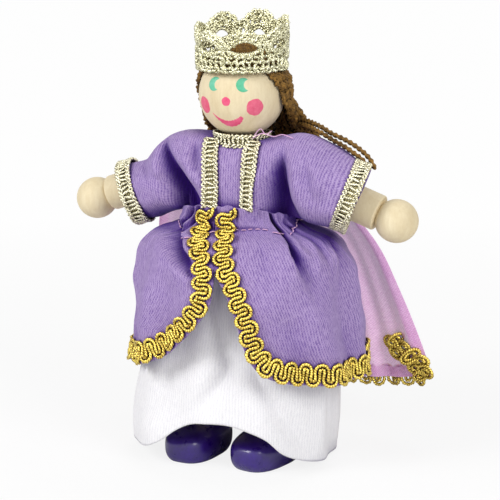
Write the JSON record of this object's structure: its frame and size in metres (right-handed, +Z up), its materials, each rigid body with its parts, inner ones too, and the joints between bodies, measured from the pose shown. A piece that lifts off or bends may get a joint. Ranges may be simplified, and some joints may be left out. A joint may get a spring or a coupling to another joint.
{
  "type": "dressed wooden doll",
  "caption": "Standing wooden queen doll with ball head, yarn hair, lace crown, gathered robe over an underskirt, sheer cape and braid trims; its head turns and its wire limbs bend.",
  "frame": {"origin": "on the floor, under the middle of the doll's box; the soles stand on Z = 0", "axes": "+Z up through the head, -Y ahead of the face, +X to the doll's left hand"},
  "size_m": [0.0862, 0.058, 0.105],
  "materials": {
    "wood": "satin",
    "torso_wood": "matte",
    "shoe_paint": "gloss",
    "cord": "matte",
    "wire": "satin",
    "hair": "matte",
    "crown_lace": "satin",
    "robe": "matte",
    "underskirt": "matte",
    "gauze": "matte",
    "silver_braid": "satin",
    "gold_braid": "satin"
  },
  "bodies": {
    "torso": {"torso_block": "torso_wood", "neck_peg": "torso_wood", "shoulder_pin_left": "wire", "shoulder_pin_right": "wire", "hip_pin_left": "wire", "hip_pin_right": "wire", "robe_bodice": "robe", "neck_braid": "silver_braid", "chest_braid_left": "silver_braid", "chest_braid_right": "silver_braid", "overskirt": "robe", "gold_braid_left": "gold_braid", "gold_braid_right": "gold_braid", "underskirt": "underskirt", "cape": "gauze", "cape_braid": "gold_braid"},
    "head": {"head_ball": "wood", "hair_cap": "hair", "hair_fall": "hair", "crown": "crown_lace"},
    "upper_arm_left": {"upper_arm_left": "cord", "sleeve_left": "robe"},
    "upper_arm_right": {"upper_arm_right": "cord", "sleeve_right": "robe"},
    "forearm_left": {"forearm_left": "wood", "forearm_wire_left": "wire", "hand_left": "wood", "cuff_braid_left": "silver_braid"},
    "forearm_right": {"forearm_right": "wood", "forearm_wire_right": "wire", "hand_right": "wood", "cuff_braid_right": "silver_braid"},
    "thigh_left": {"thigh_left": "cord"},
    "thigh_right": {"thigh_right": "cord"},
    "shin_left": {"shin_left": "wood", "shin_wire_left": "wire", "shoe_left": "shoe_paint"},
    "shin_right": {"shin_right": "wood", "shin_wire_right": "wire", "shoe_right": "shoe_paint"}
  },
  "joints": [
    {"name": "head_turn", "type": "hinge", "parent": "torso", "child": "head", "pos_m": [0, -0.00356, 0.08697], "axis": [0, 0, 1], "range_deg": [-60, 60], "deforming": ["hair_fall"]},
    {"name": "left_arm_raise", "type": "hinge", "parent": "torso", "child": "upper_arm_left", "pos_m": [0.0084, -0.00356, 0.07027], "axis": [0, -1, 0], "range_deg": [-6, 70], "deforming": ["sleeve_left", "robe_bodice"]},
    {"name": "right_arm_raise", "type": "hinge", "parent": "torso", "child": "upper_arm_right", "pos_m": [-0.0084, -0.00356, 0.07027], "axis": [0, 1, 0], "range_deg": [-6, 70], "deforming": ["sleeve_right", "robe_bodice"]},
    {"name": "left_elbow_bend", "type": "hinge", "parent": "upper_arm_left", "child": "forearm_left", "pos_m": [0.02018, -0.00356, 0.0661], "axis": [-0.3338, 0, -0.9426], "range_deg": [0, 70], "deforming": ["sleeve_left"]},
    {"name": "right_elbow_bend", "type": "hinge", "parent": "upper_arm_right", "child": "forearm_right", "pos_m": [-0.02018, -0.00356, 0.0661], "axis": [-0.3338, 0, 0.9426], "range_deg": [0, 70], "deforming": ["sleeve_right"]},
    {"name": "left_hip_swing", "type": "hinge", "parent": "torso", "child": "thigh_left", "pos_m": [0.00347, -0.00356, 0.04297], "axis": [1, 0, 0], "range_deg": [-8, 8]},
    {"name": "right_hip_swing", "type": "hinge", "parent": "torso", "child": "thigh_right", "pos_m": [-0.00347, -0.00356, 0.04297], "axis": [1, 0, 0], "range_deg": [-8, 8]},
    {"name": "left_knee_bend", "type": "hinge", "parent": "thigh_left", "child": "shin_left", "pos_m": [0.00628, -0.00356, 0.0257], "axis": [1, 0, 0], "range_deg": [0, 18]},
    {"name": "right_knee_bend", "type": "hinge", "parent": "thigh_right", "child": "shin_right", "pos_m": [-0.00628, -0.00356, 0.0257], "axis": [1, 0, 0], "range_deg": [0, 18]}
  ]
}
